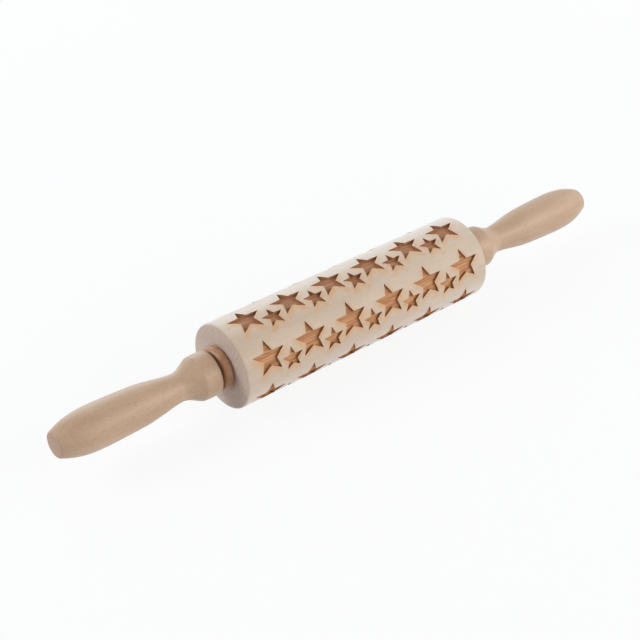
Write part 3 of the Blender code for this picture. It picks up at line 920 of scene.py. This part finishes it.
def make_lamps():
    """Hang the soft square lamps, each facing the middle of the pin."""
    for name, place, width, power, light in LAMPS:
        lamp = bpy.data.lights.new(name, "AREA")
        lamp.shape = "SQUARE"
        lamp.size = width
        lamp.energy = power
        lamp.color = srgb(light)[:3]
        holder = new_object(name, lamp)
        holder.location = place
        holder.rotation_euler = (Vector(MIDDLE) - holder.location).to_track_quat("-Z", "Y").to_euler()


def make_camera():
    """Set the camera where the photograph was taken from."""
    camera = bpy.data.cameras.new("camera")
    camera.sensor_width = SENSOR_WIDTH
    camera.lens = LENS
    camera.clip_start = CLIP_START
    camera.clip_end = CLIP_END
    holder = new_object("camera", camera)
    back = Vector((
        math.sin(CAMERA_AZIMUTH) * math.cos(CAMERA_ELEVATION),
        -math.cos(CAMERA_AZIMUTH) * math.cos(CAMERA_ELEVATION),
        math.sin(CAMERA_ELEVATION),
    ))
    holder.location = CAMERA_TARGET + back * CAMERA_DISTANCE
    holder.rotation_euler = (-back).to_track_quat("-Z", "Y").to_euler()
    bpy.context.scene.camera = holder


class PIN_OT_roller(bpy.types.Operator):
    """Make the beech roller and cut its star pockets"""

    bl_idname = "rolling_pin.roller"
    bl_label = "Roller"

    def execute(self, context):
        sizes, colours = context.scene.pin_sizes, context.scene.pin_colours
        piece = turned("engraved_roller", roller_outline(sizes), ROLLER_SEGMENTS)
        given = {name: getattr(sizes, name.lower().replace(" ", "_")) for name in STAR_SIZES + STAR_COUNTS}
        given["Length Between Rims"] = sizes.roller_length - 2 * sizes.roller_rim
        given["Axis Height"] = AXIS_HEIGHT
        given["Surface Material"] = sanded_beech(sizes, colours)
        given["Pocket Material"] = burnt_beech(sizes, colours)
        bake_geometry(piece, star_tree(), given)
        piece.data.shade_smooth()
        piece.data.set_sharp_from_angle(angle=POCKET_CREASE_ANGLE)
        dress(piece, "roller", "roller_barrel")
        return {"FINISHED"}


class PIN_OT_bushes(bpy.types.Operator):
    """Make the two darker bushes that show beside the roller's faces"""

    bl_idname = "rolling_pin.bushes"
    bl_label = "Bushes"

    def execute(self, context):
        outline = bush_outline(context.scene.pin_sizes)
        wood = waxed_hardwood(context.scene.pin_colours)
        turn_pair("bush", outline, BUSH_SEGMENTS, wood, "roller")
        return {"FINISHED"}


class PIN_OT_handles(bpy.types.Operator):
    """Make the two turned handles"""

    bl_idname = "rolling_pin.handles"
    bl_label = "Handles"

    def execute(self, context):
        outline = handle_outline(context.scene.pin_sizes)
        wood = satin_beech(context.scene.pin_colours)
        turn_pair("handle", outline, HANDLE_SEGMENTS, wood, "handles")
        return {"FINISHED"}


class PIN_OT_rod(bpy.types.Operator):
    """Give the rod between the handles its steel"""

    bl_idname = "rolling_pin.rod"
    bl_label = "Rod"

    def execute(self, context):
        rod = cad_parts["axle_rod"]
        rod.data.materials.clear()
        rod.data.materials.append(drawn_steel(context.scene.pin_colours))
        return {"FINISHED"}


class PIN_OT_stage(bpy.types.Operator):
    """Set the white floor, the soft lamps and the camera"""

    bl_idname = "rolling_pin.stage"
    bl_label = "Stage"

    def execute(self, context):
        context.scene.view_settings.view_transform = "Standard"
        make_floor(context.scene.pin_sizes, context.scene.pin_colours)
        make_tent()
        make_lamps()
        make_camera()
        return {"FINISHED"}


class PIN_PT_panel(bpy.types.Panel):
    """Lists the pin's pieces, sizes and colours"""

    bl_idname = "PIN_PT_panel"
    bl_label = "Rolling pin"
    bl_space_type = "VIEW_3D"
    bl_region_type = "UI"
    bl_category = "Rolling pin"

    def draw(self, context):
        for operator in OPERATORS:
            self.layout.operator(operator.bl_idname)
        for group in (context.scene.pin_sizes, context.scene.pin_colours):
            column = self.layout.column()
            for name in group.bl_rna.properties.keys():
                if name not in ("name", "rna_type"):
                    column.prop(group, name)


OPERATORS = (PIN_OT_roller, PIN_OT_bushes, PIN_OT_handles, PIN_OT_rod, PIN_OT_stage)
CLASSES = (PinSizes, PinColours, *OPERATORS, PIN_PT_panel)


def register():
    """Add the pin's classes and settings to Blender."""
    for one in CLASSES:
        bpy.utils.register_class(one)
    bpy.types.Scene.pin_sizes = PointerProperty(type=PinSizes)
    bpy.types.Scene.pin_colours = PointerProperty(type=PinColours)


def unregister():
    """Take the pin's classes and settings out again."""
    del bpy.types.Scene.pin_colours
    del bpy.types.Scene.pin_sizes
    for one in reversed(CLASSES):
        bpy.utils.unregister_class(one)


def main():
    """Build the dressed pin and its stage."""
    register()
    bpy.ops.rolling_pin.roller()
    bpy.ops.rolling_pin.bushes()
    bpy.ops.rolling_pin.handles()
    bpy.ops.rolling_pin.rod()
    bpy.ops.rolling_pin.stage()


if __name__ == "__main__":
    main()
